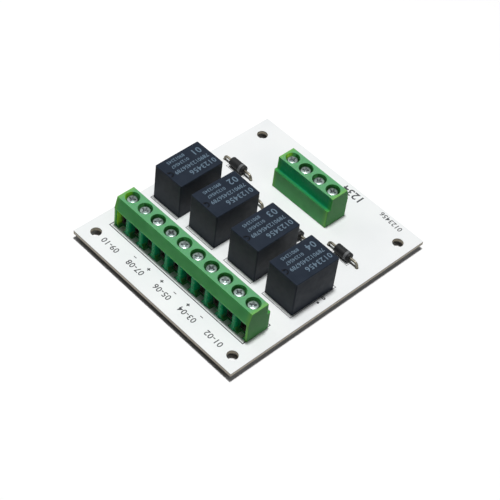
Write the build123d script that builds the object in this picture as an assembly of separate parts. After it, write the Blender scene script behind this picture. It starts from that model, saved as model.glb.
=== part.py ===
from build123d import *
import math
import os

# Relay module board. Millimetres, +Z up. The origin is the centre of the four
# mounting holes on the board's underside. The ten-way terminal row is at the
# front (-Y), the four-way row at the back (+Y), the relays between them.

# Board
board_width = 60.6          # X
board_depth = 70.4          # Y
board_thickness = 1.2
hole_inset_side = 4.0       # side edge to the mounting holes
hole_inset_front = 4.3      # front edge to the front pair
hole_inset_back = 5.8
hole_spacing_x = board_width - 2 * hole_inset_side
hole_spacing_y = board_depth - hole_inset_front - hole_inset_back
mount_hole_d = 3.1
y_front_edge = -hole_spacing_y / 2 - hole_inset_front
y_back_edge = y_front_edge + board_depth

# Terminals
pitch = 5.08
ten_count = 10              # poles of the front row
four_count = 4              # poles of the back row
row_inset_front = 13.35     # front edge to the line of the ten-way block's screws
row_inset_back = 13.6       # back edge to the line of the four-way block's screws
ten_row_y = y_front_edge + row_inset_front
four_row_y = y_back_edge - row_inset_back

block_height = 10.0
end_extra = 0.1             # housing beyond the last half pitch, each end
front_y = -3.78             # wire side, measured from the line of the screws
back_y = 4.02
top_front_y = -2.83
top_back_y = 2.7
ledge_y = 2.8               # foot of the stepped-back strip
ledge_z = 6.1
entry_half_width = 1.75
entry_roof_z = 6.2
entry_roof_bevel = 0.5      # corners under the roof
entry_bottom_z = 1.59       # centre of the half round bottom
entry_back_y = -2.05
rib_front_r = 0.7
end_corner_r = 0.25         # front corners of the two ends
foot_front_y = -3.6
rear_corner_r = 0.4

well_d = 4.0
well_floor_z = 7.7
ceiling_z = 7.2
round_sides = 20            # wells and screw heads are cut as fine polygons

# clamp cage: a square tube that the screw lifts against the contact bar
cage_width = 3.6            # X
cage_depth = 3.2            # Y
cage_wall = 0.5
cage_floor = 0.6
cage_top = 0.8
cage_rest_z = 0.3
cage_gap = 0.1
window_lip = 0.15           # what the housing keeps before each side of the cage
bar_thickness = 0.6
bar_bottom_z = 3.3
clamp_travel = 2.3          # upwards, until the cage floor meets the bar
cage_height = bar_bottom_z + bar_thickness + cage_gap + cage_top - cage_rest_z

shank_r = 1.22
thread_gap = 0.05           # running fit of the shank in the cage
ceiling_gap = 0.13
head_r = 1.62
head_height = 1.7
head_lift = 0.05
recess_length = 2.2
recess_width = 0.55
recess_depth = 0.8

pin_width = 1.0
pin_below = 1.6             # every pin, below the board's underside
pin_hole_r = 0.64
strip_y = 2.1               # middle of the bar's bent leg
bar_width = 2 * (cage_width / 2 - cage_wall - cage_gap)

# Relays
relay_width = 10.26         # X
relay_length = 15.06        # Y
relay_height = 11.7
relay_wall = 0.8
relay_corner = 0.25         # bevel of the uprights
relay_top = 0.12            # bevel round the top
relay_lift = 0.3            # base above the board
dimple_r = 1.15
dimple_edge = 0.23          # short edge to the straight side of the half-moon
dimple_tilt = 16.0          # its floor falls away from that side
relay_pin_a = 0.6
relay_pin_b = 0.4
relay_hole_r = 0.45
relay_pin_row = 3.81        # half of the spacing of the two pin rows
relay_pin_y = (-5.08, 2.54, 5.08)
# centre x, centre y, turn in degrees: each stands a little askew
relays = ((-21.82, -2.48, 0.4), (-7.77, -2.33, -1.1), (7.15, -2.22, 0.1), (21.49, -2.40, -0.7))

# Diodes
diode_d = 2.7
diode_length = 5.2
lead_d = 0.76
diode_pitch = 10.4
diode_axis_z = 1.45         # above the board
diodes = ((-20.4, 15.1), (-10.6, 10.25), (6.8, 10.2), (20.4, 14.9))   # centre x, y
lead_hole_r = 0.48
lead_bend = 1.0

# Solder
solder_foot_r = 1.05
solder_tip_r = 0.62
solder_height = 1.1
solder_sides = 6
hole_sides = 6              # pin holes, under the solder

top_z = board_thickness
through = board_thickness + pin_below + 1.0     # length that clears any pin, each way
board_centre_y = (y_front_edge + y_back_edge) / 2


def solid(x0, x1, y0, y1, z0, z1):
    """Box between two corners."""
    return Pos((x0 + x1) / 2, (y0 + y1) / 2, (z0 + z1) / 2) * Box(x1 - x0, y1 - y0, z1 - z0)


def rod(r, z0, z1, x=0.0, y=0.0):
    """Upright cylinder."""
    return Pos(x, y, (z0 + z1) / 2) * Cylinder(r, z1 - z0)


def sided_rod(sides, flats_r, z0, z1, x=0.0, y=0.0):
    """Upright prism with flats_r from the axis to a flat."""
    return Pos(x, y, z0) * extrude(RegularPolygon(flats_r, sides, major_radius=False), amount=z1 - z0)


def poles(count):
    """X of each pole of a block."""
    return [(i - (count - 1) / 2) * pitch for i in range(count)]


# Terminal block
def housing(count):
    """Moulded housing, wire side towards -Y, standing on z = 0."""
    half = count * pitch / 2 + end_extra
    # main section: sloped front over the entries, flat top, stepped back
    section = Polyline(
        (0, entry_back_y, 0), (0, entry_back_y, entry_roof_z), (0, front_y, entry_roof_z),
        (0, top_front_y, block_height), (0, top_back_y, block_height),
        (0, ledge_y, ledge_z), (0, back_y, ledge_z), (0, back_y, 0), close=True)
    body = Pos(-half, 0, 0) * extrude(make_face(section), amount=2 * half, dir=(1, 0, 0))
    rear = [e for e in body.edges().filter_by(Axis.Z)
            if abs(e.center().Y - back_y) < 1e-4]
    body = fillet(rear, rear_corner_r)

    # ribs with rounded fronts stand between the entries
    rib_edges = [-half] + [x + s * entry_half_width for x in poles(count) for s in (-1, 1)] + [half]
    ribs = []
    for a, b in zip(rib_edges[0::2], rib_edges[1::2]):
        ra = end_corner_r if a == -half else min(rib_front_r, (b - a) / 2 - 0.02)
        rb = end_corner_r if b == half else min(rib_front_r, (b - a) / 2 - 0.02)
        turns = [math.radians(t) for t in (0, 30, 60, 90)]
        left = [(a + ra - ra * math.cos(t), front_y + ra - ra * math.sin(t)) for t in turns]
        right = [(b - rb + rb * math.cos(t), front_y + rb - rb * math.sin(t)) for t in reversed(turns)]
        plan = make_face(Polyline((a, entry_back_y), *left, *right, (b, entry_back_y), close=True))
        ribs.append(extrude(plan, amount=entry_roof_z, dir=(0, 0, 1)))

    # feet: what the half round bottoms of the entries leave, open to the board
    depth = entry_back_y - foot_front_y
    feet = solid(-half, half, foot_front_y, entry_back_y, 0, entry_bottom_z)
    bottoms = [Pos(x, entry_back_y + 0.01, entry_bottom_z) * Rot(90, 0, 0)
               * extrude(RegularPolygon(entry_half_width, 16, major_radius=False), amount=depth + 0.02)
               for x in poles(count)]
    feet = feet - bottoms

    # bevelled corners under the roof of each entry
    fills = []
    for x in poles(count):
        for s in (-1, 1):
            wall = x + s * entry_half_width
            start = front_y + rib_front_r
            wedge = make_face(Polyline((wall, start, entry_roof_z),
                                       (wall - s * entry_roof_bevel, start, entry_roof_z),
                                       (wall, start, entry_roof_z - entry_roof_bevel), close=True))
            fills.append(extrude(wedge, amount=entry_back_y - start, dir=(0, 1, 0)))
    body = body + ribs + [feet] + fills

    # inside: screw wells, cage rooms, windows and the slots of the contact bars
    cuts = []
    window_half = cage_width / 2 - window_lip
    for x in poles(count):
        cuts.append(sided_rod(round_sides, well_d / 2, well_floor_z, block_height + 1, x))
        cuts.append(sided_rod(8, shank_r + ceiling_gap, ceiling_z - 0.5, well_floor_z + 0.5, x))
        cuts.append(solid(x - cage_width / 2 - cage_gap, x + cage_width / 2 + cage_gap,
                          -cage_depth / 2 - cage_gap, cage_depth / 2 + cage_gap, -1, ceiling_z))
        cuts.append(solid(x - window_half, x + window_half, entry_back_y - 0.5, 0,
                          cage_rest_z, bar_bottom_z))
        cuts.append(solid(x - bar_width / 2, x + bar_width / 2, 0, strip_y + bar_thickness / 2,
                          -1, bar_bottom_z + bar_thickness))
    body = body - cuts
    return body


def cage(x):
    """Clamp cage: folded square tube, open towards the wire, threaded top."""
    z0, z1 = cage_rest_z, cage_rest_z + cage_height
    outer = solid(-cage_width / 2, cage_width / 2, -cage_depth / 2, cage_depth / 2, z0, z1)
    outer = chamfer(outer.edges().filter_by(Axis.Y), 0.3)
    inner_half = cage_width / 2 - cage_wall
    inner = solid(-inner_half, inner_half, -cage_depth, cage_depth, z0 + cage_floor, z1 - cage_top)
    return Pos(x, 0, 0) * (outer - inner - sided_rod(8, shank_r + thread_gap, z1 - cage_top - 0.1, z1 + 1))


def screw(x):
    """Clamp screw: round head with a cross recess on an eight-sided shank, no thread."""
    z0 = bar_bottom_z + bar_thickness + cage_gap
    zh = well_floor_z + head_lift
    zt = zh + head_height
    shank = sided_rod(8, shank_r * math.cos(math.pi / 8), z0, zh)
    head = sided_rod(round_sides, head_r * math.cos(math.pi / round_sides), zh, zt)
    cross = []
    for a in (0, 90):
        arm = Pos(0, 0, zt - recess_depth / 2 + 0.05) * Box(recess_length, recess_width, recess_depth + 0.1)
        low = [e for e in arm.edges().filter_by(Axis.Y) if e.center().Z < zt - recess_depth / 2]
        arm = chamfer(low, recess_depth * 0.75)
        cross.append(Rot(0, 0, a) * arm)
    return Pos(x, 0, 0) * (shank + head - cross)


def contact(x):
    """Contact bar over the cage floor, bent down at the back into a solder pin."""
    top = bar_bottom_z + bar_thickness
    bar = solid(-bar_width / 2, bar_width / 2, -cage_depth / 2 + cage_gap, strip_y + bar_thickness / 2,
                bar_bottom_z, top)
    leg = solid(-bar_width / 2, bar_width / 2, strip_y - bar_thickness / 2, strip_y + bar_thickness / 2,
                0.0, bar_bottom_z)
    pin = solid(-pin_width / 2, pin_width / 2, strip_y - bar_thickness / 2, strip_y + bar_thickness / 2,
                -board_thickness - pin_below, 0.0)
    tip = [e for e in pin.edges().filter_by(Axis.Y) if e.center().Z < -board_thickness - pin_below + 0.01]
    return Pos(x, 0, 0) * (bar + leg + chamfer(tip, 0.25))


ten_place = Pos(0, ten_row_y, top_z)
four_place = Pos(0, four_row_y, top_z) * Rot(0, 0, 180)

nodes = {}
nodes["terminal_block_ten"] = ten_place * housing(ten_count)
nodes["terminal_block_four"] = four_place * housing(four_count)
for label, place, count in (("ten", ten_place, ten_count), ("four", four_place, four_count)):
    for i, x in enumerate(poles(count), 1):
        nodes[f"{label}_screw_{i:02d}"] = place * screw(x)
        nodes[f"{label}_clamp_{i:02d}"] = place * cage(x)
    nodes[f"{label}_contacts"] = Compound([place * contact(x) for x in poles(count)])


# Relays
def relay_cover():
    """Sealed cover: open box with bevelled edges and a sloping half-moon dimple in its top."""
    shell = solid(-relay_width / 2, relay_width / 2, -relay_length / 2, relay_length / 2, 0, relay_height)
    shell = chamfer(shell.edges().filter_by(Axis.Z), relay_corner)
    shell = chamfer(shell.faces().sort_by(Axis.Z)[-1].edges(), relay_top)
    hollow = solid(-relay_width / 2 + relay_wall, relay_width / 2 - relay_wall,
                   -relay_length / 2 + relay_wall, relay_length / 2 - relay_wall,
                   -1, relay_height - relay_wall)
    arc = [(dimple_r * math.cos(math.radians(t)), dimple_r * math.sin(math.radians(t)))
           for t in range(0, 181, 15)]
    moon = extrude(make_face(Polyline(*arc, close=True)), amount=dimple_r)
    moon = Pos(0, -relay_length / 2 + dimple_edge, relay_height) * Rot(-dimple_tilt, 0, 0) * moon
    return shell - hollow - moon


def relay_base():
    """Sealed works on their base, filling the cover."""
    return solid(-relay_width / 2 + relay_wall, relay_width / 2 - relay_wall,
                 -relay_length / 2 + relay_wall, relay_length / 2 - relay_wall,
                 relay_lift, relay_height - relay_wall)


def relay_pins():
    """Solder pins under one relay."""
    pin = solid(-relay_pin_b / 2, relay_pin_b / 2, -relay_pin_a / 2, relay_pin_a / 2,
                -board_thickness - pin_below, relay_lift)
    return [Pos(x, y, 0) * pin for x in (-relay_pin_row, relay_pin_row) for y in relay_pin_y]


relay_places = [Pos(x, y, top_z) * Rot(0, 0, a) for x, y, a in relays]
all_relay_pins = []
for i, place in enumerate(relay_places, 1):
    nodes[f"relay_cover_{i}"] = place * relay_cover()
    nodes[f"relay_base_{i}"] = place * relay_base()
    all_relay_pins += [place * p for p in relay_pins()]
nodes["relay_pins"] = Compound(all_relay_pins)


# Diodes
def diode_lead(side):
    """One lead: out of the body, round a bend and down through the board."""
    x0, x1 = side * diode_length / 2, side * diode_pitch / 2
    bend = side * lead_bend
    path = Polyline((x0, 0, diode_axis_z), (x1 - bend, 0, diode_axis_z),
                    (x1 - 0.3 * bend, 0, diode_axis_z - 0.3 * lead_bend), (x1, 0, diode_axis_z - lead_bend),
                    (x1, 0, -board_thickness - pin_below))
    start = Plane(origin=(x0, 0, diode_axis_z), z_dir=(side, 0, 0))
    return sweep(start * RegularPolygon(lead_d / 2, 8), path=path, transition=Transition.RIGHT)


diode_places = [Pos(x, y, top_z) for x, y in diodes]
leads = []
for i, place in enumerate(diode_places, 1):
    body = Pos(0, 0, diode_axis_z) * Rot(0, 90, 0) * Cylinder(diode_d / 2, diode_length)
    nodes[f"diode_{i}"] = place * body
    leads += [place * diode_lead(s) for s in (-1, 1)]
nodes["diode_leads"] = Compound(leads)

# Board and solder
pin_at = []                 # place, hole radius, cutting solid for the joint
for place, count in ((ten_place, ten_count), (four_place, four_count)):
    for x in poles(count):
        pin_at.append((place * Pos(x, strip_y, 0), pin_hole_r,
                       solid(-pin_width / 2, pin_width / 2, -bar_thickness / 2, bar_thickness / 2,
                             -through, through)))
for place in relay_places:
    for x in (-relay_pin_row, relay_pin_row):
        for y in relay_pin_y:
            pin_at.append((place * Pos(x, y, 0), relay_hole_r,
                           solid(-relay_pin_b / 2, relay_pin_b / 2, -relay_pin_a / 2, relay_pin_a / 2,
                                 -through, through)))
for place in diode_places:
    for s in (-1, 1):
        pin_at.append((place * Pos(s * diode_pitch / 2, 0, 0), lead_hole_r,
                       Pos(0, 0, -through) * extrude(RegularPolygon(lead_d / 2, 8), amount=2 * through)))

board = Pos(0, board_centre_y, board_thickness / 2) * Box(board_width, board_depth, board_thickness)
holes = [rod(mount_hole_d / 2, -1, board_thickness + 1, sx * hole_spacing_x / 2, sy * hole_spacing_y / 2)
         for sx in (-1, 1) for sy in (-1, 1)]
holes += [place * sided_rod(hole_sides, r, -board_thickness - 1, 1) for place, r, cutter in pin_at]
nodes["board"] = board - holes

slope = math.degrees(math.atan((solder_foot_r - solder_tip_r) / solder_height))
foot = RegularPolygon(solder_foot_r, solder_sides)
cone = Rot(180, 0, 0) * extrude(foot, amount=solder_height, taper=slope)
nodes["solder_joints"] = Compound([
    place * (Pos(0, 0, -board_thickness) * cone - cutter) for place, r, cutter in pin_at])

# Files
os.makedirs("parts", exist_ok=True)
for name, shape in nodes.items():
    shape.label = name
    export_step(shape, f"parts/{name}.step")
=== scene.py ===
"""Relay module board: finishes, printing, fasteners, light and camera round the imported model.

All sizes here are millimetres in the board's own frame: the origin is the centre of the
four mounting holes on the underside, +Z comes out of the component side, and the ten-way
terminal row stands at -Y.
"""

import logging
import math
import random
from collections.abc import Callable
from dataclasses import dataclass, replace
from enum import Enum
from functools import partial

import bmesh
import bpy
from mathutils import Matrix, Vector


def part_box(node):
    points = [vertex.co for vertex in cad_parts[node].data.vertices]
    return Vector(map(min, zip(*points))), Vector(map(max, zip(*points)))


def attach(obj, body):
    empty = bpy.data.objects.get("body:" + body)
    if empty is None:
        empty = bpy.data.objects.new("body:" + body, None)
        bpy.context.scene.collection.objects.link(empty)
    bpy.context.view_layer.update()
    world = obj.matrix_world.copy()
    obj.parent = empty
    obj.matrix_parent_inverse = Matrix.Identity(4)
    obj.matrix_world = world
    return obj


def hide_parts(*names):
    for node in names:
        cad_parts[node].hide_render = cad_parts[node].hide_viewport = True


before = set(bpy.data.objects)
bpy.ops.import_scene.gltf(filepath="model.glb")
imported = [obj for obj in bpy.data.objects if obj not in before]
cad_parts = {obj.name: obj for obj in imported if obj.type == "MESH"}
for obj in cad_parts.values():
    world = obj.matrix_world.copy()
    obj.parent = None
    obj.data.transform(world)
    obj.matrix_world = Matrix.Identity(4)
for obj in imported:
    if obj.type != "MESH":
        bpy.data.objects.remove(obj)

MM = 0.001
ROOT_BODY = "board_body"
log = logging.getLogger("relay_board")

Colour = tuple[float, float, float]
Point = tuple[float, float, float]
Pair = tuple[float, float]


def box_mm(node: str) -> tuple[Vector, Vector]:
    """Lowest and highest corner of a CAD node at rest.

    Args:
        node: name of the node.

    Returns:
        Both corners in millimetres.
    """
    low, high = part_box(node)
    return Vector(low) / MM, Vector(high) / MM


def middle_mm(node: str) -> Vector:
    """Centre of a CAD node's box, in millimetres."""
    low, high = box_mm(node)
    return (low + high) / 2


UPRIGHT = 0.99          # y part of a strip's normal, at least
FACING_UP = 0.5         # z part of a ledge's normal, at least
STANDING = 0.1          # z part of a rib's normal, at most
LARGE_WALL = 30.0       # mm2
SMALL_WALL = 0.2        # mm2
LEDGE = 5.0             # mm2
STRIP_FOOT = 5.5        # the stepped-back strips of the housings stand higher than this above the board
HOUSING_TOP = 9.0       # only the top face of a housing lies higher than this
END_WALL = 0.7          # the end ribs of a housing lie closer to its end than this
HOUSING_ENDS = {label: box_mm(f"terminal_block_{label}")[1].x for label in ("ten", "four")}
BOARD_TOP = box_mm("board")[1].z
PIN_TIP = box_mm("relay_pins")[0].z
WELD = 1e-5             # vertices of a turned form that are closer than this become one
CAD_WELD = 1e-4         # the same in a copy of a CAD node
FLAT_DEG = 1.0          # faces that meet at less than this become one
CORNER_DEG = 38.0       # edges sharper than this are eased
SHORTEST_EASED = 0.3    # shorter edges stay sharp
CAPITAL = 0.70          # height of a capital as a share of the size of its type
SCREW_SEED = 7          # of the turns at which the screws stand
SCREW_TO_PIN = 2.1      # from a clamp screw's axis to its contact's pin
RELAY_TURNS = (0.4, -1.1, 0.1, -0.7)    # degrees about Z
RELAY_PIN_X = (-3.81, 3.81)
RELAY_PIN_Y = (-5.08, 2.54, 5.08)
DIODE_COUNT = 4
DIODE_HALF_PITCH = 5.2
CONTACT_SOLDER_R = 0.6  # radius to which solder climbs at the tip of a contact's pin
LEAD_SOLDER_R = 0.46    # the same at the tip of a relay's pin or a diode's lead


# Node bench
class NodeBench:
    """Small helper that wires one material's nodes."""

    def __init__(self, name: str) -> None:
        """Start an empty material with a Principled shader and its output.

        Args:
            name: of the material.
        """
        self.material = bpy.data.materials.new(name)
        self.material.use_nodes = True
        self.tree = self.material.node_tree
        self.tree.nodes.clear()
        self.shader = self.add("ShaderNodeBsdfPrincipled")
        self.output = self.add("ShaderNodeOutputMaterial")
        self.link(self.shader.outputs["BSDF"], self.output.inputs["Surface"])
        self.coords = self.add("ShaderNodeTexCoord")

    def add(self, kind: str, **settings: object) -> bpy.types.Node:
        """Add a node and set its plain properties.

        Args:
            kind: Blender's node type.
            settings: property names and values of the node.

        Returns:
            The new node.
        """
        node = self.tree.nodes.new(kind)
        for key, value in settings.items():
            setattr(node, key, value)
        return node

    def link(self, a: bpy.types.NodeSocket, b: bpy.types.NodeSocket) -> None:
        """Join two sockets."""
        self.tree.links.new(a, b)

    def noise(self, scale: float, detail: float = 3.0, roughness: float = 0.55) -> bpy.types.NodeSocket:
        """Noise on Object coordinates.

        Args:
            scale: features per metre.
            detail: octaves.
            roughness: weight of the fine octaves.

        Returns:
            The noise's factor output.
        """
        node = self.add("ShaderNodeTexNoise")
        node.inputs["Scale"].default_value = scale
        node.inputs["Detail"].default_value = detail
        node.inputs["Roughness"].default_value = roughness
        self.link(self.coords.outputs["Object"], node.inputs["Vector"])
        return node.outputs["Fac"]

    def spread(self, value: bpy.types.NodeSocket, low: float, high: float,
               from_low: float = 0.3, from_high: float = 0.7) -> bpy.types.NodeSocket:
        """Map a factor onto a range.

        Args:
            value: socket to map.
            low: result at from_low.
            high: result at from_high.
            from_low: lower end of the input.
            from_high: upper end of the input.

        Returns:
            The mapped socket.
        """
        node = self.add("ShaderNodeMapRange")
        self.link(value, node.inputs["Value"])
        ends = {"From Min": from_low, "From Max": from_high, "To Min": low, "To Max": high}
        for key, number in ends.items():
            node.inputs[key].default_value = number
        return node.outputs["Result"]

    def mix(self, factor: bpy.types.NodeSocket, a: Colour | bpy.types.NodeSocket,
            b: Colour | bpy.types.NodeSocket) -> bpy.types.NodeSocket:
        """Mix two colours.

        Args:
            factor: how much of b shows.
            a: first colour or socket.
            b: second colour or socket.

        Returns:
            The mixed colour.
        """
        node = self.add("ShaderNodeMix", data_type="RGBA")
        self.link(factor, node.inputs["Factor"])
        for key, colour in (("A", a), ("B", b)):
            socket = [s for s in node.inputs if s.name == key and s.type == "RGBA"][0]
            if isinstance(colour, tuple):
                socket.default_value = (*colour, 1.0)
            else:
                self.link(colour, socket)
        return [s for s in node.outputs if s.type == "RGBA"][0]

    def maths(self, operation: str, a: bpy.types.NodeSocket,
              b: float | bpy.types.NodeSocket = 0.0) -> bpy.types.NodeSocket:
        """One Math node.

        Args:
            operation: Blender's operation name.
            a: first value.
            b: second value, a number or a socket.

        Returns:
            The result.
        """
        node = self.add("ShaderNodeMath", operation=operation)
        self.link(a, node.inputs[0])
        if isinstance(b, (int, float)):
            node.inputs[1].default_value = b
        else:
            self.link(b, node.inputs[1])
        return node.outputs[0]

    def split(self, vector: bpy.types.NodeSocket) -> bpy.types.Node:
        """Separate a vector into X, Y and Z.

        Args:
            vector: socket to separate.

        Returns:
            The node with the three outputs.
        """
        node = self.add("ShaderNodeSeparateXYZ")
        self.link(vector, node.inputs[0])
        return node

    def bump(self, height: bpy.types.NodeSocket, strength: float, distance_mm: float) -> None:
        """Give the shader a bump.

        Args:
            height: height socket.
            strength: bump strength.
            distance_mm: relief between black and white.
        """
        node = self.add("ShaderNodeBump")
        node.inputs["Strength"].default_value = strength
        node.inputs["Distance"].default_value = distance_mm * MM
        self.link(height, node.inputs["Height"])
        self.link(node.outputs["Normal"], self.shader.inputs["Normal"])

    def set(self, **sockets: float) -> None:
        """Set shader sockets to plain numbers; an underscore stands for a blank in the name."""
        for key, value in sockets.items():
            self.shader.inputs[key.replace("_", " ")].default_value = value


# Finishes
@dataclass(frozen=True)
class MaskFinish:
    """White mask above, near-black painted shade below and at the foot of every cut edge, and laminate that
    shows on the rest of every cut edge.
    """

    name: str = "white_solder_mask"
    white: Colour = (0.825, 0.84, 0.84)
    shade: Colour = (0.785, 0.805, 0.81)
    # painted shade: near-black for the underside and the foot of every cut edge, standing in for the shade
    # beneath the board
    underside_shade: Colour = (0.030, 0.026, 0.016)
    laminate: Colour = (0.94, 0.87, 0.72)
    laminate_dark: Colour = (0.78, 0.68, 0.52)
    skin_mm: float = 0.12
    cloud_scale: float = 60.0
    layer_scale: float = 620.0
    rough_scale: float = 900.0
    grain: float = 1500.0

    def build(self) -> bpy.types.Material:
        """Build the material.

        Returns:
            Material with the white mask on top, near-black painted shade on the underside and at the foot
            of the edges, and layered laminate on the rest of the edges.
        """
        bench = NodeBench(self.name)
        normal = bench.split(bench.coords.outputs["Normal"])
        flat = bench.maths("GREATER_THAN", bench.maths("ABSOLUTE", normal.outputs["Z"]), 0.5)
        cloud = bench.spread(bench.noise(self.cloud_scale, 2.0), 0.0, 1.0, 0.35, 0.65)
        facing_up = bench.maths("GREATER_THAN", normal.outputs["Z"], 0.0)
        # faces that look down take the painted shade
        mask = bench.mix(facing_up, self.underside_shade, bench.mix(cloud, self.shade, self.white))
        layers = bench.add("ShaderNodeTexWave", wave_type="BANDS", bands_direction="Z")
        layers.inputs["Scale"].default_value = self.layer_scale
        layers.inputs["Distortion"].default_value = 1.2
        layers.inputs["Detail"].default_value = 2.0
        bench.link(bench.coords.outputs["Object"], layers.inputs["Vector"])
        banding = bench.spread(layers.outputs["Fac"], 0.0, 0.55, 0.0, 1.0)
        glass = bench.mix(banding, self.laminate, self.laminate_dark)
        place = bench.split(bench.coords.outputs["Object"])
        top_skin = bench.maths("GREATER_THAN", place.outputs["Z"], (BOARD_TOP - self.skin_mm) * MM)
        # the lowest skin of every cut edge takes the painted shade as well
        low_edge_shade = bench.maths("LESS_THAN", place.outputs["Z"], self.skin_mm * MM)
        edge = bench.mix(low_edge_shade, bench.mix(top_skin, glass, self.shade), self.underside_shade)
        bench.link(bench.mix(flat, edge, mask), bench.shader.inputs["Base Color"])
        bench.link(bench.spread(bench.noise(self.rough_scale), 0.34, 0.46),
                   bench.shader.inputs["Roughness"])
        bench.bump(bench.noise(self.grain, 4.0), 0.10, 0.03)
        bench.set(IOR=1.5)
        return bench.material


@dataclass(frozen=True)
class NylonFinish:
    """Green moulded nylon, a little translucent.

    The body's cloud runs from deep to light; the rest is painted light: a sheen on the faces that look up,
    a glow through the thin walls near the ends, shade on the faces that look along the row, and a glow on
    the inner sides of the end walls.
    """

    name: str
    light: Colour
    deep: Colour
    # painted sheen: hazier colour on the faces that look up
    top_sheen: Colour
    # painted glow: yellower colour near the ends, for light coming through the thin end walls
    thin: Colour
    # painted shade: deeper colour on the faces that look along the row
    end_face_shade: Colour
    end_mm: float
    gloss_level: float = 0.08
    rough_low: float = 0.34
    rough_high: float = 0.48
    # painted glow: bright colour on the inner sides of the end walls, for light coming through them
    wall: Colour = (0.42, 0.80, 0.07)
    wall_mm: float = 1.0
    glow_mm: float = 1.6
    cloud_scale: float = 180.0
    rough_scale: float = 1400.0
    grain: float = 2600.0
    scatter: float = 0.45
    scatter_m: float = 0.0022

    def build(self) -> bpy.types.Material:
        """Build the material.

        Returns:
            Material with a cloudy colour and mould grain, and painted light: a hazy sheen on top, a yellow
            glow near the thin ends, shade on the faces that look along the row and a bright glow on the
            inner sides of the end walls.
        """
        bench = NodeBench(self.name)
        cloud = bench.spread(bench.noise(self.cloud_scale, 3.0), 0.0, 1.0, 0.35, 0.65)
        body = bench.mix(cloud, self.deep, self.light)
        normal = bench.split(bench.coords.outputs["Normal"])
        # painted sheen on the faces that look up
        with_top_sheen = bench.mix(bench.spread(normal.outputs["Z"], 0.0, 1.0, 0.75, 0.95), body, self.top_sheen)
        across = bench.split(bench.coords.outputs["Object"]).outputs["X"]
        along = bench.maths("ABSOLUTE", across)
        glow_from = (self.end_mm - self.glow_mm) * MM
        # painted glow near the thin ends
        end_glow_share = bench.spread(along, 0.0, 0.6, glow_from, self.end_mm * MM)
        # painted shade on the faces that look along the row
        end_face_shade_share = bench.spread(bench.maths("ABSOLUTE", normal.outputs["X"]), 0.0, 1.0, 0.6, 0.9)
        ended = bench.mix(end_face_shade_share, bench.mix(end_glow_share, with_top_sheen, self.thin), self.end_face_shade)
        outward = bench.maths("MULTIPLY", normal.outputs["X"], bench.maths("SIGN", across))
        # painted glow on the inner sides of the end walls
        inward = bench.spread(outward, 1.0, 0.0, -0.9, -0.6)
        last = bench.spread(along, 0.0, 1.0, glow_from, (self.end_mm - self.wall_mm) * MM)
        lit = bench.mix(bench.maths("MULTIPLY", inward, last), ended, self.wall)
        bench.link(lit, bench.shader.inputs["Base Color"])
        bench.link(bench.spread(bench.noise(self.rough_scale), self.rough_low, self.rough_high),
                   bench.shader.inputs["Roughness"])
        bench.bump(bench.noise(self.grain, 3.0), 0.10, 0.02)
        bench.set(IOR=1.53, Specular_IOR_Level=self.gloss_level)
        bench.set(Subsurface_Weight=self.scatter, Subsurface_Scale=self.scatter_m)
        bench.shader.inputs["Subsurface Radius"].default_value = (0.5, 1.0, 0.4)
        return bench.material


@dataclass(frozen=True)
class PlasticFinish:
    """Dark moulded plastic or epoxy with a fine grain."""

    name: str
    base: Colour
    worn: Colour
    rough_low: float
    rough_high: float
    grain: float = 2200.0
    relief_mm: float = 0.02
    sheen_level: float = 0.14
    cloud_scale: float = 240.0
    rough_scale: float = 700.0

    def build(self) -> bpy.types.Material:
        """Build the material.

        Returns:
            Material with a cloudy colour and a fine bump.
        """
        bench = NodeBench(self.name)
        cloud = bench.spread(bench.noise(self.cloud_scale, 3.0), 0.0, 1.0, 0.35, 0.7)
        bench.link(bench.mix(cloud, self.base, self.worn), bench.shader.inputs["Base Color"])
        bench.link(bench.spread(bench.noise(self.rough_scale), self.rough_low, self.rough_high),
                   bench.shader.inputs["Roughness"])
        bench.bump(bench.noise(self.grain, 3.0), 0.12, self.relief_mm)
        bench.set(IOR=1.5, Specular_IOR_Level=self.sheen_level)
        return bench.material


@dataclass(frozen=True)
class MetalFinish:
    """Plated or tinned metal with fine scratches and dull patches."""

    name: str
    bright: Colour
    dull: Colour
    rough_low: float
    rough_high: float
    scratch: float = 3000.0
    patch_scale: float = 420.0

    def build(self) -> bpy.types.Material:
        """Build the material.

        Returns:
            Metallic material.
        """
        bench = NodeBench(self.name)
        patch = bench.spread(bench.noise(self.patch_scale, 4.0), 0.0, 1.0, 0.4, 0.7)
        bench.link(bench.mix(patch, self.bright, self.dull), bench.shader.inputs["Base Color"])
        bench.link(bench.spread(bench.noise(self.scratch, 2.0), self.rough_low, self.rough_high),
                   bench.shader.inputs["Roughness"])
        bench.bump(bench.noise(self.scratch, 3.0), 0.08, 0.01)
        bench.set(Metallic=1.0)
        return bench.material


@dataclass(frozen=True)
class InkFinish:
    """Printed ink, slightly broken up."""

    name: str
    ink: Colour
    thin: Colour
    spot_scale: float = 1800.0

    def build(self) -> bpy.types.Material:
        """Build the material.

        Returns:
            Matt material with worn spots.
        """
        bench = NodeBench(self.name)
        spots = bench.spread(bench.noise(self.spot_scale, 3.0), 0.0, 1.0, 0.5, 0.75)
        bench.link(bench.mix(spots, self.ink, self.thin), bench.shader.inputs["Base Color"])
        bench.set(Roughness=0.6)
        return bench.material


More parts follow.
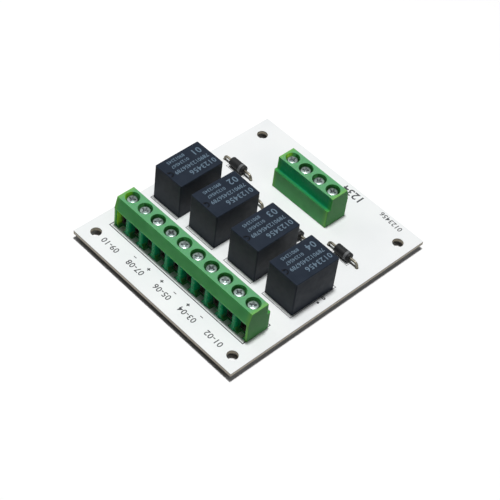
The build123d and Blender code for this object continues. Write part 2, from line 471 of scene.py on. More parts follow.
class Finishes:
    """Every finish of the board, each built once."""

    def __init__(self) -> None:
        """Build the materials."""
        self.mask = MaskFinish().build()
        self.nylon = {label: self.green(label, end) for label, end in HOUSING_ENDS.items()}
        self.relay = PlasticFinish("relay_cover_black", (0.009, 0.015, 0.026), (0.014, 0.021, 0.034),
                                   0.36, 0.48, sheen_level=0.11).build()
        self.relay_base = PlasticFinish("relay_base_black", (0.010, 0.010, 0.012), (0.016, 0.016, 0.018),
                                        0.50, 0.60).build()
        self.epoxy = PlasticFinish("diode_epoxy", (0.012, 0.013, 0.014), (0.022, 0.023, 0.024),
                                   0.38, 0.50, 3200.0).build()
        self.nickel = MetalFinish("nickel_plate", (0.31, 0.38, 0.36), (0.10, 0.14, 0.125),
                                  0.24, 0.40, 1500.0).build()
        # painted light: faces deep in the cross recess are lighter than the head, to lift the shade in the
        # recess
        self.recess = MetalFinish("recess_painted_light", (0.42, 0.46, 0.46), (0.20, 0.23, 0.23),
                                  0.40, 0.55).build()
        # painted shade: dark colour for the clamp cages, standing in for the shade inside the wire entries
        self.cage = MetalFinish("cage_plate_shaded", (0.22, 0.21, 0.18), (0.12, 0.11, 0.09), 0.38, 0.55).build()
        self.lead = MetalFinish("lead_wire", (0.27, 0.25, 0.20), (0.11, 0.10, 0.08), 0.28, 0.45).build()
        self.tin = MetalFinish("tinned_copper", (0.62, 0.61, 0.57), (0.45, 0.44, 0.40),
                               0.28, 0.45).build()
        self.solder = MetalFinish("solder", (0.70, 0.70, 0.69), (0.52, 0.52, 0.51),
                                  0.18, 0.36, 1500.0).build()
        self.board_ink = InkFinish("board_print", (0.025, 0.028, 0.032), (0.07, 0.075, 0.08)).build()
        self.pale_ink = InkFinish("board_print_pale", (0.15, 0.15, 0.16), (0.27, 0.27, 0.28)).build()
        self.relay_ink = InkFinish("relay_print", (0.088, 0.142, 0.195), (0.05, 0.085, 0.12)).build()
        self.band_ink = InkFinish("diode_band", (0.10, 0.105, 0.11), (0.06, 0.063, 0.066)).build()

    def green(self, label: str, end_mm: float) -> tuple[bpy.types.Material, bpy.types.Material]:
        """Build the matt nylon of one housing and its darker, glossier twin with painted shade.

        Args:
            label: which housing.
            end_mm: how far its ends are from its middle.

        Returns:
            The matt material and the darker one with painted shade.
        """
        matt = NylonFinish(f"green_nylon_{label}", light=(0.084, 0.370, 0.116),
                           deep=(0.064, 0.315, 0.092), top_sheen=(0.118, 0.350, 0.165),
                           thin=(0.200, 0.460, 0.060), end_face_shade=(0.062, 0.255, 0.070), end_mm=end_mm)
        # painted shade: darker teal for the stepped-back strip, its ledge, the ribs and the entry sides;
        # also glossier
        shaded_glossy = NylonFinish(f"green_nylon_shaded_glossy_{label}", light=(0.009, 0.285, 0.105),
                               deep=(0.006, 0.250, 0.092), top_sheen=(0.020, 0.200, 0.060),
                               thin=(0.090, 0.380, 0.040), end_face_shade=(0.004, 0.250, 0.110), end_mm=end_mm,
                               rough_low=0.22, rough_high=0.30)
        return matt.build(), shaded_glossy.build()


# Mesh helpers
@dataclass(frozen=True)
class Words:
    """One line of print: its characters, the height of a capital, its middle and its type."""

    characters: str
    height: float
    x: float
    y: float
    turn_deg: float
    spacing: float = 1.0
    weight: float = 0.02


class Mould:
    """A bmesh in millimetres that becomes one finished piece."""

    def __init__(self) -> None:
        """Start an empty mould."""
        self.bm = bmesh.new()

    def strip(self, a: Pair, b: Pair, width: float, span: Pair) -> None:
        """Add a printed line.

        Args:
            a: start x, y.
            b: end x, y.
            width: line width.
            span: underside and top.
        """
        start, end = Vector((*a, 0.0)), Vector((*b, 0.0))
        run = end - start
        turn = Matrix.Rotation(math.atan2(run.y, run.x), 4, "Z")
        middle = (start + end) / 2
        size = Matrix.Diagonal((run.length + width, width, span[1] - span[0], 1.0))
        place = Matrix.Translation((middle.x, middle.y, sum(span) / 2)) @ turn @ size
        bmesh.ops.create_cube(self.bm, size=1.0, matrix=place)

    def frame(self, x: Pair, y: Pair, width: float, span: Pair) -> None:
        """Add a printed rectangle made of four lines.

        Args:
            x: left and right.
            y: front and back.
            width: line width.
            span: underside and top.
        """
        corners = [(x[0], y[0]), (x[1], y[0]), (x[1], y[1]), (x[0], y[1])]
        for a, b in zip(corners, corners[1:] + corners[:1]):
            self.strip(a, b, width, span)

    def dot(self, x: float, y: float, radius: float, span: Pair) -> None:
        """Add a flat round dot.

        Args:
            x: middle.
            y: middle.
            radius: of the dot.
            span: underside and top.
        """
        bmesh.ops.create_cone(self.bm, cap_ends=True, segments=20, radius1=radius, radius2=radius,
                              depth=span[1] - span[0], matrix=Matrix.Translation((x, y, sum(span) / 2)))

    def ring(self, radii: Pair, span: Pair, sides: int, place: Matrix) -> None:
        """Add a flat ring by spinning its section about Z.

        Args:
            radii: of the hole and of the rim.
            span: underside and top.
            sides: steps round it.
            place: where the ring goes.
        """
        (inner, outer), (low, high) = radii, span
        self.turned([(inner, low), (outer, low), (outer, high), (inner, high), (inner, low)], sides, place)

    def turned(self, section: list[Pair], sides: int, place: Matrix) -> None:
        """Spin a section of radius and height about Z.

        Args:
            section: points of (radius, z), closed by its last point or by the axis.
            sides: steps round the axis.
            place: where the turned form goes.
        """
        verts = [self.bm.verts.new((r, 0.0, z)) for r, z in section]
        edges = [self.bm.edges.new(pair) for pair in zip(verts, verts[1:])]
        bmesh.ops.spin(self.bm, geom=verts + edges, cent=(0, 0, 0), axis=(0, 0, 1),
                       angle=math.tau, steps=sides, use_merge=True, use_duplicate=False)
        fresh = self._island(verts)
        bmesh.ops.remove_doubles(self.bm, verts=fresh, dist=WELD)
        fresh = [v for v in fresh if v.is_valid]
        faces = {f for v in fresh for f in v.link_faces}
        bmesh.ops.recalc_face_normals(self.bm, faces=list(faces))
        bmesh.ops.transform(self.bm, matrix=place, verts=fresh)

    def _island(self, seeds: list[bmesh.types.BMVert]) -> list[bmesh.types.BMVert]:
        """Find the vertices joined to the seeds.

        Args:
            seeds: vertices to start from.

        Returns:
            The seeds and all that edges join to them.
        """
        seen, queue = set(seeds), list(seeds)
        while queue:
            vert = queue.pop()
            for edge in vert.link_edges:
                other = edge.other_vert(vert)
                if other not in seen:
                    seen.add(other)
                    queue.append(other)
        return list(seen)

    def text(self, words: Words, span: Pair) -> None:
        """Add printed digits or signs.

        Args:
            words: what is printed, where and in which type.
            span: underside and top.
        """
        curve = bpy.data.curves.new("print_curve", "FONT")
        curve.body = words.characters
        curve.size = words.height / CAPITAL
        curve.align_x, curve.align_y = "CENTER", "CENTER"
        curve.extrude = (span[1] - span[0]) / 2
        curve.offset = words.weight * words.height
        curve.space_character = words.spacing
        curve.resolution_u = 3
        holder = bpy.data.objects.new("print_holder", curve)
        bpy.context.scene.collection.objects.link(holder)
        bpy.context.view_layer.update()
        graph = bpy.context.evaluated_depsgraph_get()
        mesh = bpy.data.meshes.new_from_object(holder.evaluated_get(graph))
        turn = Matrix.Rotation(math.radians(words.turn_deg), 4, "Z")
        mesh.transform(Matrix.Translation((words.x, words.y, sum(span) / 2)) @ turn)
        self.bm.from_mesh(mesh)
        bpy.data.objects.remove(holder)
        bpy.data.curves.remove(curve)
        bpy.data.meshes.remove(mesh)

    def finish(self, name: str, slot: str, material: bpy.types.Material, body: str = ROOT_BODY,
               smooth_deg: float = 40.0) -> bpy.types.Object:
        """Turn the mould into an object that rides on a body.

        Args:
            name: piece name.
            slot: not used.
            material: finish.
            body: CAD body that carries the piece.
            smooth_deg: edges sharper than this stay sharp.

        Returns:
            The finished object, in metres, at the origin.
        """
        bmesh.ops.scale(self.bm, vec=(MM, MM, MM), verts=self.bm.verts)
        mesh = bpy.data.meshes.new(name)
        self.bm.to_mesh(mesh)
        self.bm.free()
        mesh.shade_smooth()
        mesh.set_sharp_from_angle(angle=math.radians(smooth_deg))
        mesh.materials.append(material)
        piece = bpy.data.objects.new(name, mesh)
        bpy.context.scene.collection.objects.link(piece)
        even = piece.modifiers.new("flat_faces_stay_flat", "WEIGHTED_NORMAL")
        even.keep_sharp = True
        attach(piece, body)
        log.info("%s: %d faces on %s", name, len(mesh.polygons), body)
        return piece


def dress(node: str, material: bpy.types.Material) -> None:
    """Give a CAD node its finish.

    Args:
        node: CAD node.
        material: finish.
    """
    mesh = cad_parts[node].data
    mesh.materials.clear()
    mesh.materials.append(material)


def eased_copy(node: str, slot: str, finishes: tuple[bpy.types.Material, ...], ease_mm: float,
               skin_mm: float = 0.0, second: Callable[[bmesh.types.BMFace], bool] | None = None) -> None:
    """Replace a CAD node by a copy of itself with eased moulded edges.

    Args:
        node: CAD node.
        slot: not used; only handed on to the mould's finish.
        finishes: finish of the piece, and a second one where some faces have it.
        ease_mm: width of the easing.
        skin_mm: how far the top is lowered, to leave room for the ink on it.
        second: says which faces have the second finish.
    """
    mould = Mould()
    mould.bm.from_mesh(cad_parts[node].data)
    bmesh.ops.scale(mould.bm, vec=(1 / MM,) * 3, verts=mould.bm.verts)
    bmesh.ops.remove_doubles(mould.bm, verts=mould.bm.verts, dist=CAD_WELD)
    bmesh.ops.dissolve_limit(mould.bm, angle_limit=math.radians(FLAT_DEG), verts=mould.bm.verts,
                             edges=mould.bm.edges, delimit=set())
    top = box_mm(node)[1].z
    for vert in mould.bm.verts:
        vert.co.z -= skin_mm if vert.co.z > top - skin_mm else 0.0
    for face in mould.bm.faces:
        face.material_index = 1 if second and second(face) else 0
    sharp = [e for e in mould.bm.edges if e.is_manifold and e.is_convex
             and e.calc_face_angle(0.0) > math.radians(CORNER_DEG) and e.calc_length() > SHORTEST_EASED]
    bmesh.ops.bevel(mould.bm, geom=sharp, offset=ease_mm, offset_type="OFFSET", segments=2, profile=0.5,
                    affect="EDGES", clamp_overlap=True, material=-1, miter_outer="ARC")
    piece = mould.finish(f"{node}_moulding", slot, finishes[0], smooth_deg=50.0)
    for finish in finishes[1:]:
        piece.data.materials.append(finish)
    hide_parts(node)


def gets_painted_shade(face: bmesh.types.BMFace, end_mm: float) -> bool:
    """Whether a face of a terminal housing takes the darker, glossier nylon with painted shade: the strip,
    its ledge, a rib or an entry's side.

    Args:
        face: face in millimetres.
        end_mm: how far the housing's ends are from its middle.

    Returns:
        True for the faces with painted shade.
    """
    middle, normal, area = face.calc_center_median(), face.normal, face.calc_area()
    height = middle.z - BOARD_TOP
    strip = abs(normal.y) > UPRIGHT and area > LARGE_WALL and height > STRIP_FOOT
    ledge = normal.z > FACING_UP and area > LEDGE and STRIP_FOOT < height < HOUSING_TOP
    wall = abs(normal.z) < STANDING and SMALL_WALL < area < LARGE_WALL and height < STRIP_FOOT
    return strip or ledge or (wall and abs(middle.x) < end_mm - END_WALL)


# Board
@dataclass
class PrintedBoard:
    """The board with its printing."""

    finishes: Finishes
    ink: float = 0.02
    line: float = 0.26
    fine_line: float = 0.2
    label_y: float = -30.2
    label_height: float = 1.75
    label_x: tuple[float, ...] = (-20.35, -10.45, 0.05, 9.6, 19.5)
    sign_y: float = -27.95
    sign_reach: float = 0.36
    plus_x: tuple[float, ...] = (-7.8, -2.65, 7.4)
    minus_x: tuple[float, ...] = (-13.15, 2.4, 12.5)
    relay_x: tuple[Pair, ...] = ((-27.05, -16.62), (-12.9, -2.77), (1.86, 12.06), (16.37, 26.8))
    relay_y: Pair = (-10.7, 5.75)
    ten_x: Pair = (-26.1, 25.25)
    ten_y: Pair = (-25.75, -16.3)
    plus_line: float = 0.3
    minus_line: float = 0.22
    corner_words: tuple[Words, ...] = (Words("1234", 2.6, 6.2, 33.7, 180.0),
                                       Words("0123456", 1.55, 19.9, 34.35, 176.0, 1.05, 0.016),
                                       Words("0", 1.15, 27.5, 0.6, 90.0, 1.0, 0.05))
    dot: Point = (27.6, -1.6, 0.36)
    diode_line: float = 0.14
    diode_half: Pair = (3.0, 1.55)
    diode_reach: float = 4.3

    def build(self) -> None:
        """Dress the board and print it."""
        dress("board", self.finishes.mask)
        self.print_dark()
        self.print_pale()

    def print_dark(self) -> None:
        """Print the labels, signs and the outline of the ten-way block."""
        span = (BOARD_TOP, BOARD_TOP + self.ink)
        reach, y = self.sign_reach, self.sign_y
        mould = Mould()
        mould.frame(self.ten_x, self.ten_y, self.line, span)
        for number, x in enumerate(reversed(self.label_x)):
            pair = f"{2 * number + 1:02d}-{2 * number + 2:02d}"
            mould.text(Words(pair, self.label_height, x, self.label_y, 180.0, 1.05, 0.014), span)
        for x in self.plus_x:
            mould.strip((x - reach, y), (x + reach, y), self.plus_line, span)
            mould.strip((x, y - reach), (x, y + reach), self.plus_line, span)
        for x in self.minus_x:
            mould.strip((x - reach, y), (x + reach, y), self.minus_line, span)
        for words in self.corner_words:
            mould.text(words, span)
        mould.dot(*self.dot, span)
        mould.finish("board_print_dark", "board_white", self.finishes.board_ink)

    def print_pale(self) -> None:
        """Print the thinner outlines of relays and diodes."""
        span = (BOARD_TOP, BOARD_TOP + self.ink)
        across, along = self.diode_half
        mould = Mould()
        for relay_x in self.relay_x:
            mould.frame(relay_x, self.relay_y, self.fine_line, span)
        for number in range(1, DIODE_COUNT + 1):
            x, y, _ = middle_mm(f"diode_{number}")
            mould.frame((x - across, x + across), (y - along, y + along), self.diode_line, span)
            for side in (-1, 1):
                mould.strip((x + side * across, y), (x + side * self.diode_reach, y), self.diode_line, span)
        mould.finish("board_print_pale", "board_white", self.finishes.pale_ink)


# Terminals
@dataclass
class ClampScrewForm:
    """Pan-head clamp screw with a cross recess, turned and cut once, then copied."""

    head_r: float = 1.62
    head_low: float = 7.75
    head_top: float = 9.45
    shank_r: float = 1.12
    shank_low: float = 4.0
    recess_r: float = 1.12
    recess_width: float = 0.56
    recess_depth: float = 0.95
    shank_bevel: float = 0.25
    rim_bevel: float = 0.12
    shoulder: tuple[Pair, ...] = ((0.0, 0.42), (0.05, 0.28), (0.16, 0.15), (0.34, 0.06), (0.6, 0.0))
    cone_low_r: float = 0.10
    cone_high_r: float = 0.78
    cone_over: float = 0.25
    wing_over: float = 0.3
    wing_taper: Pair = (0.45, 0.75)
    recess_light_from: float = 0.3
    recess_light_below: float = 0.08

    def mesh(self) -> bpy.types.Mesh:
        """Make the screw at the origin of its pole, in millimetres above the board.

        Returns:
            A mesh with the recess cut.
        """
        lo, hi, r = self.head_low, self.head_top, self.head_r
        section = [(0.0, self.shank_low), (self.shank_r - self.shank_bevel, self.shank_low),
                   (self.shank_r, self.shank_low + self.shank_bevel), (self.shank_r, lo),
                   (r - self.rim_bevel, lo), (r, lo + self.rim_bevel)]
        section += [(r - inwards, hi - down) for inwards, down in self.shoulder] + [(0.0, hi)]
        blank = Mould()
        blank.turned(section, 48, Matrix.Identity(4))
        cutter = Mould()
        for turn in (0.0, 90.0):
            self._wing(cutter.bm, turn)
        cone_z = hi - self.recess_depth / 2 + self.cone_over / 2
        bmesh.ops.create_cone(cutter.bm, cap_ends=True, segments=24, radius1=self.cone_low_r,
                              radius2=self.cone_high_r, depth=self.recess_depth + self.cone_over,
                              matrix=Matrix.Translation((0, 0, cone_z)))
        tools = []
        for name, mould in (("screw_blank", blank), ("screw_cutter", cutter)):
            mesh = bpy.data.meshes.new(name)
            mould.bm.to_mesh(mesh)
            mould.bm.free()
            tool = bpy.data.objects.new(name, mesh)
            bpy.context.scene.collection.objects.link(tool)
            tools.append(tool)
        cut = tools[0].modifiers.new("recess", "BOOLEAN")
        cut.operation, cut.solver, cut.object, cut.use_self = "DIFFERENCE", "EXACT", tools[1], True
        bpy.context.view_layer.update()
        graph = bpy.context.evaluated_depsgraph_get()
        result = bpy.data.meshes.new_from_object(tools[0].evaluated_get(graph))
        for tool in tools:
            data = tool.data
            bpy.data.objects.remove(tool)
            bpy.data.meshes.remove(data)
        # faces deep in the cross recess take the second finish, the recess's painted light
        for face in result.polygons:
            inside = math.hypot(face.center.x, face.center.y) < self.recess_r
            deep = lo + self.recess_light_from < face.center.z < hi - self.recess_light_below
            face.material_index = 1 if inside and deep else 0
        return result

    def _wing(self, bm: bmesh.types.BMesh, turn: float) -> None:
        """Add one tapered bar of the recess cutter.

        Args:
            bm: the cutter.
            turn: degrees about Z.
        """
        tall = self.recess_depth + self.wing_over
        made = bmesh.ops.create_cube(bm, size=1.0)["verts"]
        bmesh.ops.scale(bm, vec=(2 * self.recess_r, self.recess_width, tall), verts=made)
        for vert in made:
            if vert.co.z < 0:
                vert.co.x *= self.wing_taper[0]
                vert.co.y *= self.wing_taper[1]
        spin = Matrix.Rotation(math.radians(turn), 4, "Z")
        place = Matrix.Translation((0, 0, self.head_top + self.wing_over - tall / 2)) @ spin
        bmesh.ops.transform(bm, matrix=place, verts=made)


class Row(Enum):
    """The two terminal rows: label, number of poles, and the way from the screws to the pins."""

    TEN = ("ten", 10, 1)
    FOUR = ("four", 4, -1)


@dataclass
class TerminalRow:
    """One terminal block with its screws, cages and contacts."""

    row: Row
    finishes: Finishes
    screw: bpy.types.Mesh
    turns: tuple[float, ...]
    ease: float = 0.09

    def build(self) -> None:
        """Dress the housing and put detailed screws over the plain ones."""
        label, count, _ = self.row.value
        # the strip, its ledge, the ribs and the entry sides take the painted shade
        eased_copy(f"terminal_block_{label}", "terminal_green", self.finishes.nylon[label], self.ease,
                   second=partial(gets_painted_shade, end_mm=HOUSING_ENDS[label]))
        dress(f"{label}_contacts", self.finishes.tin)
        for i in range(count):
            node = f"{label}_screw_{i + 1:02d}"
            x, y, _ = middle_mm(node)
            dress(f"{label}_clamp_{i + 1:02d}", self.finishes.cage)
            mould = Mould()
            mould.bm.from_mesh(self.screw)
            spin = Matrix.Rotation(math.radians(self.turns[i]), 4, "Z")
            bmesh.ops.transform(mould.bm, verts=mould.bm.verts,
                                matrix=Matrix.Translation((x, y, BOARD_TOP)) @ spin)
            piece = mould.finish(f"{node}_turned", "screw_nickel", self.finishes.nickel,
                                 f"{node}_body", 32.0)
            # second slot: the recess's painted light
            piece.data.materials.append(self.finishes.recess)
            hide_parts(node)


# Relays
@dataclass
class SealedRelay:
    """One sealed relay with the printing on its top."""

    number: int
    turn: float
    finishes: Finishes
    ease: float = 0.05
    ink: float = 0.012
    vent_r: float = 0.75
    vent_in: float = 0.95
    vent_leg: float = 0.45
    vent_line: float = 0.24
    vent_steps: int = 8

    def build(self) -> None:
        """Ease the cover's edges, dress the base, print the top and paint the shade of the vent's groove.
        """
        cover = f"relay_cover_{self.number}"
        eased_copy(cover, "relay_black", (self.finishes.relay,), self.ease, self.ink)
        dress(f"relay_base_{self.number}", self.finishes.relay_base)
        centre, top = middle_mm(cover), box_mm(cover)[1].z
        mould = Mould()
        for words in self.words():
            where = centre + self.spin() @ Vector((words.x, words.y, 0.0))
            placed = replace(words, x=where.x, y=where.y, turn_deg=words.turn_deg + self.turn)
            mould.text(placed, (top - self.ink, top))
        mould.finish(f"relay_print_{self.number}", "relay_black", self.finishes.relay_ink)
        self.vent_groove_shade(centre, box_mm(cover)[0].y, top)

    def spin(self) -> Matrix:
        """The relay's own turn on the board."""
        return Matrix.Rotation(math.radians(self.turn), 4, "Z")

    def words(self) -> tuple[Words, ...]:
        """Lay out the top's print from the relay's middle: long lines, its number, short lines.

        Returns:
            The lines in the relay's own frame.
        """
        return (Words("0123456", 1.6, 2.75, 2.3, -90.0, 1.12),
                Words("7890123456789", 1.2, 0.35, 0.5, -90.0, 1.05),
                Words(f"{self.number:02d}", 2.0, -2.6, 4.6, -90.0, 1.15),
                Words("01234567", 1.0, -1.75, -1.75, -90.0, 1.05),
                Words("89012345", 1.0, -3.6, -1.75, -90.0, 1.05))

    def vent_groove_shade(self, centre: Vector, front: float, top: float) -> None:
        """Paint the shade of the groove round the sealed vent as a dark arc at the middle of the front
        edge.

        Args:
            centre: middle of the cover.
            front: y of its front.
            top: height of its top.
        """
        mould, r, leg = Mould(), self.vent_r, self.vent_leg
        hub = Vector((0.0, front - centre.y + self.vent_in, 0.0))
        turns = [math.pi * step / self.vent_steps for step in range(self.vent_steps + 1)]
        bow = [hub + Vector((r * math.cos(t), r * math.sin(t), 0.0)) for t in turns]
        bow = [hub + Vector((r, -leg, 0.0))] + bow + [hub + Vector((-r, -leg, 0.0))]
        ends = [((self.spin() @ point) + centre).to_2d() for point in bow]
        for a, b in zip(ends, ends[1:]):
            mould.strip(tuple(a), tuple(b), self.vent_line, (top - self.ink, top))
        # the dark arc is painted shade of the groove
        mould.finish(f"relay_vent_groove_shade_{self.number}", "relay_black", self.finishes.relay_base)


# Diodes
@dataclass
class Diode:
    """One diode: turned body with eased ends, and its band."""

    number: int
    finishes: Finishes
    radius: float = 1.35
    length: float = 5.2
    band_at: float = 1.0
    band_width: float = 0.75
    band_depth: float = 0.3
    band_sunk: float = 0.004
    collar: Pair = (0.45, 0.5)
    shoulder: tuple[Pair, ...] = ((0.32, 0.06), (0.1, 0.14), (0.02, 0.36))
    steps: int = 48

    def build(self) -> None:
        """Turn the body and the band."""
        r, h = self.radius, self.length / 2
        lying = Matrix.Rotation(math.pi / 2, 4, "Y")
        place = Matrix.Translation(middle_mm(f"diode_{self.number}")) @ lying
        mould = Mould()
        half = [(0.0, h), (self.collar[0], h), (self.collar[1], h - self.shoulder[0][1])]
        half += [(r - inwards, h - down) for inwards, down in self.shoulder]
        mould.turned([(across, -along) for across, along in half] + half[::-1], self.steps, place)
        piece = mould.finish(f"diode_{self.number}_body", "diode_black", self.finishes.epoxy,
                             smooth_deg=50.0)
        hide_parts(f"diode_{self.number}")
        band = Mould()
        band.ring((r - self.band_depth, r - self.band_sunk),
                  (self.band_at, self.band_at + self.band_width), self.steps, place)
        band.finish(f"diode_{self.number}_band", "diode_black", self.finishes.band_ink)


@dataclass
class DiodeLeads:
    """Round wires of all the diodes, bent down through the board."""

    finishes: Finishes
    wire_r: float = 0.37
    half_body: float = 2.6
    bend_r: float = 1.05
    end_gap: float = 0.02

    def build(self) -> None:
        """Sweep each wire by extruding and spinning a circle."""
        mould = Mould()
        for number in range(1, DIODE_COUNT + 1):
            for side in (-1, 1):
                self._wire(mould.bm, middle_mm(f"diode_{number}"), side)
        piece = mould.finish("diode_wires", "lead_tin", self.finishes.lead, smooth_deg=50.0)
        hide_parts("diode_leads")

    def _wire(self, bm: bmesh.types.BMesh, centre: Vector, side: int) -> None:
        """Sweep one wire.

        Args:
            bm: mesh to add to.
            centre: middle of the diode.
            side: which end.
        """
        start = centre + Vector((side * self.half_body, 0, 0))
        place = Matrix.Translation(start) @ Matrix.Rotation(side * math.pi / 2, 4, "Y")
        made = bmesh.ops.create_circle(bm, cap_ends=True, segments=20, radius=self.wire_r, matrix=place)
        face = made["verts"][0].link_faces[0]
        run = DIODE_HALF_PITCH - self.half_body - self.bend_r
        face = self._push(bm, face, Vector((side * run, 0, 0)))
        hub = start + Vector((side * run, 0, -self.bend_r))
        spun = bmesh.ops.spin(bm, geom=[face], cent=hub, axis=(0, 1, 0), angle=side * math.pi / 2,
                              steps=10, use_duplicate=False)
        face = [g for g in spun["geom_last"] if isinstance(g, bmesh.types.BMFace)][0]
        self._push(bm, face, Vector((0, 0, PIN_TIP + self.end_gap - hub.z)))

    def _push(self, bm: bmesh.types.BMesh, face: bmesh.types.BMFace, step: Vector) -> bmesh.types.BMFace:
        """Extrude a face along a step.

        Args:
            bm: mesh.
            face: end face.
            step: how far it goes.

        Returns:
            The new end face.
        """
        made = bmesh.ops.extrude_discrete_faces(bm, faces=[face])["faces"][0]
        bmesh.ops.translate(bm, vec=step, verts=made.verts)
        return made


# Underside
@dataclass
class Underside:
    """Solder fillets and pads where every pin comes through."""

    pins: list[Point]
    finishes: Finishes
    bore: float = 0.20
    bore_low: float = -1.12
    tip: float = -1.08
    fillet: tuple[Pair, ...] = ((1.0, -0.03), (0.93, -0.16), (0.80, -0.34), (0.70, -0.58), (0.64, -0.86))
    fillet_steps: int = 20
    pad_radii: Pair = (0.66, 1.22)
    pad_steps: int = 24

    def build(self) -> None:
        """Turn one hollow fillet and one pad at each pin."""
        joints, pads = Mould(), Mould()
        pad_z = self.fillet[0][1]
        for x, y, reach in self.pins:
            section = [(self.bore, pad_z), *self.fillet, (reach, self.tip), (self.bore, self.bore_low),
                       (self.bore, pad_z)]
            place = Matrix.Translation((x, y, 0.0))
            joints.turned(section, self.fillet_steps, place)
            pads.ring(self.pad_radii, (pad_z, 0.0), self.pad_steps, place)
        piece = joints.finish("solder_fillets", "solder", self.finishes.solder, smooth_deg=70.0)
        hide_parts("solder_joints")
        pads.finish("soldering_pads", "solder", self.finishes.tin)
        dress("relay_pins", self.finishes.tin)


# Studio
@dataclass(frozen=True)
class SoftLamp:
    """A square soft lamp aimed at the board: its place and side, and its power in watts."""

    name: str
    place_mm: Point
    side_mm: float
    watts: float

    def build(self) -> None:
        """Hang the lamp."""
        data = bpy.data.lights.new(self.name, "AREA")
        data.shape, data.size, data.energy = "SQUARE", self.side_mm * MM, self.watts
        lamp = bpy.data.objects.new(self.name, data)
        place = Vector(self.place_mm) * MM
        lamp.matrix_world = Matrix.Translation(place) @ place.to_track_quat("Z", "Y").to_matrix().to_4x4()
        bpy.context.scene.collection.objects.link(lamp)


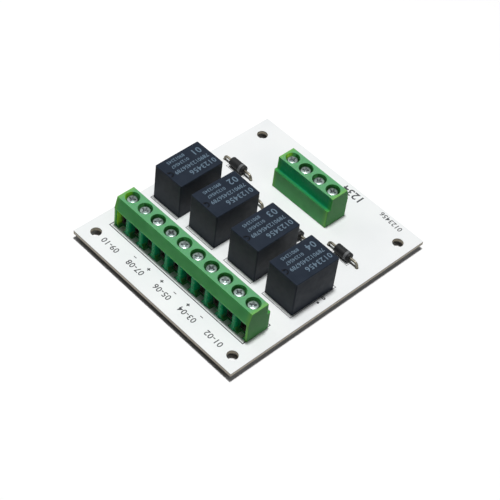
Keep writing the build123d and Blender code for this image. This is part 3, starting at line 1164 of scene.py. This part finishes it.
@dataclass
class Studio:
    """Pale floor, soft light and the photograph's camera."""

    focal_px: float = 1455.638
    camera_over_board: Point = (171.9902, -198.0269, 280.6249)
    right: Point = (0.682512, 0.724737, 0.094518)
    down: Point = (0.5821, -0.460815, -0.669932)
    ahead: Point = (-0.44197, 0.512255, -0.736381)
    photo_px: float = 500.0
    sensor_mm: float = 36.0
    floor_gap: float = 0.01
    floor_half_m: float = 3.0
    sky_light: float = 0.045
    floor_bounce: float = 0.45
    lamps: tuple[SoftLamp, ...] = (SoftLamp("top", (-20.0, 16.0, 600.0), 70.0, 3.42),
                                   SoftLamp("left", (-300.0, -60.0, 300.0), 200.0, 0.14),
                                   SoftLamp("right", (300.0, 0.0, 340.0), 260.0, 0.13))

    def build(self) -> None:
        """Set up the camera, floor, lamps and world."""
        self.camera()
        self.floor()
        for lamp in self.lamps:
            lamp.build()
        self.sky()
        bpy.context.scene.view_settings.view_transform = "Standard"

    def sky(self) -> None:
        """Give a dim even light, and a white surrounding for the camera, gloss and glass."""
        world = bpy.data.worlds.new("studio_world")
        world.use_nodes = True
        tree = world.node_tree
        dim = tree.nodes["Background"]
        dim.inputs["Color"].default_value = (1.0, 1.0, 1.0, 1.0)
        dim.inputs["Strength"].default_value = self.sky_light
        white = tree.nodes.new("ShaderNodeBackground")
        rays = tree.nodes.new("ShaderNodeLightPath")
        seen = rays.outputs["Is Camera Ray"]
        for kind in ("Is Glossy Ray", "Is Transmission Ray"):
            either = tree.nodes.new("ShaderNodeMath")
            either.operation = "MAXIMUM"
            tree.links.new(seen, either.inputs[0])
            tree.links.new(rays.outputs[kind], either.inputs[1])
            seen = either.outputs[0]
        swap = tree.nodes.new("ShaderNodeMixShader")
        for source, socket in zip((seen, dim.outputs[0], white.outputs[0]), swap.inputs):
            tree.links.new(source, socket)
        tree.links.new(swap.outputs[0], tree.nodes["World Output"].inputs["Surface"])
        bpy.context.scene.world = world

    def camera(self) -> None:
        """Place the camera where the photograph was taken from."""
        data = bpy.data.cameras.new("photo_camera")
        data.sensor_width = self.sensor_mm
        data.lens = self.focal_px / self.photo_px * self.sensor_mm
        data.clip_start, data.clip_end = 0.01, 20.0
        camera = bpy.data.objects.new("photo_camera", data)
        rows = (self.right, [-v for v in self.down], [-v for v in self.ahead])
        place = Vector(self.camera_over_board) + Vector((0, 0, BOARD_TOP))
        camera.matrix_world = Matrix.Translation(place * MM) @ Matrix(rows).transposed().to_4x4()
        bpy.context.scene.collection.objects.link(camera)
        bpy.context.scene.camera = camera

    def floor(self) -> None:
        """Lay a wide pale floor that the camera sees as white paper with a soft shadow."""
        mould = bmesh.new()
        bmesh.ops.create_grid(mould, x_segments=2, y_segments=2, size=self.floor_half_m,
                              matrix=Matrix.Translation((0, 0, (PIN_TIP - self.floor_gap) * MM)))
        mesh = bpy.data.meshes.new("floor")
        mould.to_mesh(mesh)
        mould.free()
        paper = bpy.data.materials.new("floor_paper")
        paper.use_nodes = True
        tree = paper.node_tree
        tree.nodes.clear()
        rays = tree.nodes.new("ShaderNodeLightPath")
        swap = tree.nodes.new("ShaderNodeMixShader")
        tree.links.new(rays.outputs["Is Camera Ray"], swap.inputs[0])
        for socket, grey in ((swap.inputs[1], self.floor_bounce), (swap.inputs[2], 1.0)):
            diffuse = tree.nodes.new("ShaderNodeBsdfDiffuse")
            diffuse.inputs["Color"].default_value = (grey, grey, grey, 1.0)
            tree.links.new(diffuse.outputs[0], socket)
        out = tree.nodes.new("ShaderNodeOutputMaterial")
        tree.links.new(swap.outputs[0], out.inputs["Surface"])
        mesh.materials.append(paper)
        floor = bpy.data.objects.new("floor", mesh)
        bpy.context.scene.collection.objects.link(floor)


# Assembly
def pin_places() -> list[Point]:
    """Find every pin that comes through the board.

    Returns:
        x, y and the radius to which solder climbs at the tip.
    """
    pins = []
    for row in Row:
        label, count, side = row.value
        for i in range(1, count + 1):
            x, y, _ = middle_mm(f"{label}_screw_{i:02d}")
            pins.append((x, y + side * SCREW_TO_PIN, CONTACT_SOLDER_R))
    for number, turn in enumerate(RELAY_TURNS, 1):
        centre = middle_mm(f"relay_cover_{number}")
        spin = Matrix.Rotation(math.radians(turn), 4, "Z")
        for px in RELAY_PIN_X:
            for py in RELAY_PIN_Y:
                where = centre + spin @ Vector((px, py, 0.0))
                pins.append((where.x, where.y, LEAD_SOLDER_R))
    for number in range(1, DIODE_COUNT + 1):
        centre = middle_mm(f"diode_{number}")
        pins += [(centre.x + side * DIODE_HALF_PITCH, centre.y, LEAD_SOLDER_R) for side in (-1, 1)]
    return pins


def main() -> None:
    """Build the sub-assemblies in order."""
    logging.basicConfig(level=logging.INFO, format="%(message)s")
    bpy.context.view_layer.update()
    finishes = Finishes()
    PrintedBoard(finishes).build()
    screw = ClampScrewForm().mesh()
    turns = random.Random(SCREW_SEED)
    for row in Row:
        count = row.value[1]
        TerminalRow(row, finishes, screw, tuple(turns.uniform(0, 90) for _ in range(count))).build()
    for number, turn in enumerate(RELAY_TURNS, 1):
        SealedRelay(number, turn, finishes).build()
    for number in range(1, DIODE_COUNT + 1):
        Diode(number, finishes).build()
    DiodeLeads(finishes).build()
    Underside(pin_places(), finishes).build()
    Studio().build()


if __name__ == "__main__":
    main()
